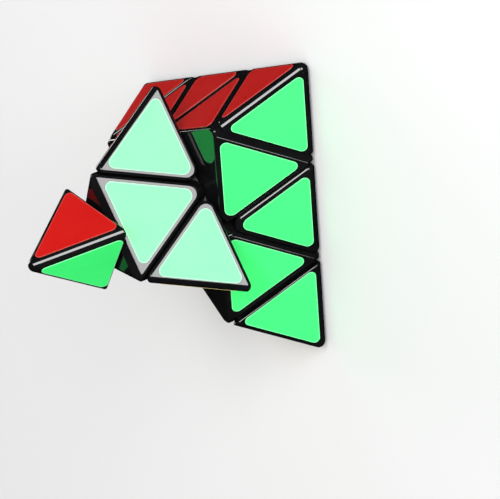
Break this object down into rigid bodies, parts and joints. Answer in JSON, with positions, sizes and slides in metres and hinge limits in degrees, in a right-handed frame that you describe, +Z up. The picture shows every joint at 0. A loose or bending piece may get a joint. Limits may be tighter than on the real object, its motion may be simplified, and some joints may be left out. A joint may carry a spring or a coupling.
{
  "type": "pyramid twisty puzzle",
  "caption": "Tetrahedral twisty puzzle in black plastic with coloured triangle stickers, apex layer and tip part turned.",
  "frame": {"origin": "middle of the base face, on the plane the puzzle stands on", "axes": "+Z up along the apex axis; the front (green) face looks along -Y; +X towards the right corner's side"},
  "size_m": [0.0926, 0.0862, 0.0765],
  "materials": {
    "black_plastic": "gloss",
    "inner_plastic": "satin",
    "core_plastic": "satin",
    "zinc_steel": "bright zinc",
    "spring_steel": "drawn wire",
    "sticker_green": "satin vinyl",
    "sticker_red": "satin vinyl",
    "sticker_yellow": "satin vinyl",
    "sticker_blue": "satin vinyl"
  },
  "bodies": {
    "base_body": {"axle_screws": "zinc_steel", "core": "core_plastic", "corner_foot_left": "inner_plastic", "corner_foot_rear": "inner_plastic", "corner_foot_right": "inner_plastic", "corner_shell_left": "black_plastic", "corner_shell_rear": "black_plastic", "corner_shell_right": "black_plastic", "edge_foot_left_rear": "inner_plastic", "edge_foot_right_left": "inner_plastic", "edge_foot_right_rear": "inner_plastic", "edge_shell_left_rear": "black_plastic", "edge_shell_right_left": "black_plastic", "edge_shell_right_rear": "black_plastic", "lower_stickers_blue": "sticker_blue", "lower_stickers_green": "sticker_green", "lower_stickers_red": "sticker_red", "lower_stickers_yellow": "sticker_yellow", "screw_washers": "zinc_steel", "spring_apex": "spring_steel", "spring_left": "spring_steel", "spring_rear": "spring_steel", "spring_right": "spring_steel"},
    "apex_layer": {"apex_layer_stickers_green": "sticker_green", "apex_layer_stickers_red": "sticker_red", "apex_layer_stickers_yellow": "sticker_yellow", "corner_foot_apex": "inner_plastic", "corner_shell_apex": "black_plastic", "edge_foot_apex_left": "inner_plastic", "edge_foot_apex_rear": "inner_plastic", "edge_foot_apex_right": "inner_plastic", "edge_shell_apex_left": "black_plastic", "edge_shell_apex_rear": "black_plastic", "edge_shell_apex_right": "black_plastic"},
    "apex_tip": {"tip_base_apex": "inner_plastic", "tip_cap_apex": "black_plastic", "tip_sticker_green_apex": "sticker_green", "tip_sticker_red_apex": "sticker_red", "tip_sticker_yellow_apex": "sticker_yellow"},
    "right_tip": {"tip_base_right": "inner_plastic", "tip_cap_right": "black_plastic", "tip_sticker_blue_right": "sticker_blue", "tip_sticker_green_right": "sticker_green", "tip_sticker_red_right": "sticker_red"},
    "left_tip": {"tip_base_left": "inner_plastic", "tip_cap_left": "black_plastic", "tip_sticker_blue_left": "sticker_blue", "tip_sticker_green_left": "sticker_green", "tip_sticker_yellow_left": "sticker_yellow"},
    "rear_tip": {"tip_base_rear": "inner_plastic", "tip_cap_rear": "black_plastic", "tip_sticker_blue_rear": "sticker_blue", "tip_sticker_red_rear": "sticker_red", "tip_sticker_yellow_rear": "sticker_yellow"}
  },
  "joints": [
    {"name": "apex_layer_turn", "type": "hinge", "parent": "base_body", "child": "apex_layer", "pos_m": [0, 0, 0.02015], "axis": [0, 0, 1], "continuous": true},
    {"name": "apex_tip_turn", "type": "hinge", "parent": "apex_layer", "child": "apex_tip", "pos_m": [0, 0, 0.02015], "axis": [0, 0, 1], "continuous": true},
    {"name": "right_tip_turn", "type": "hinge", "parent": "base_body", "child": "right_tip", "pos_m": [0, 0, 0.02015], "axis": [0.8165, -0.4714, -0.3333], "continuous": true},
    {"name": "left_tip_turn", "type": "hinge", "parent": "base_body", "child": "left_tip", "pos_m": [0, 0, 0.02015], "axis": [-0.8165, -0.4714, -0.3333], "continuous": true},
    {"name": "rear_tip_turn", "type": "hinge", "parent": "base_body", "child": "rear_tip", "pos_m": [0, 0, 0.02015], "axis": [0, 0.9428, -0.3333], "continuous": true}
  ]
}
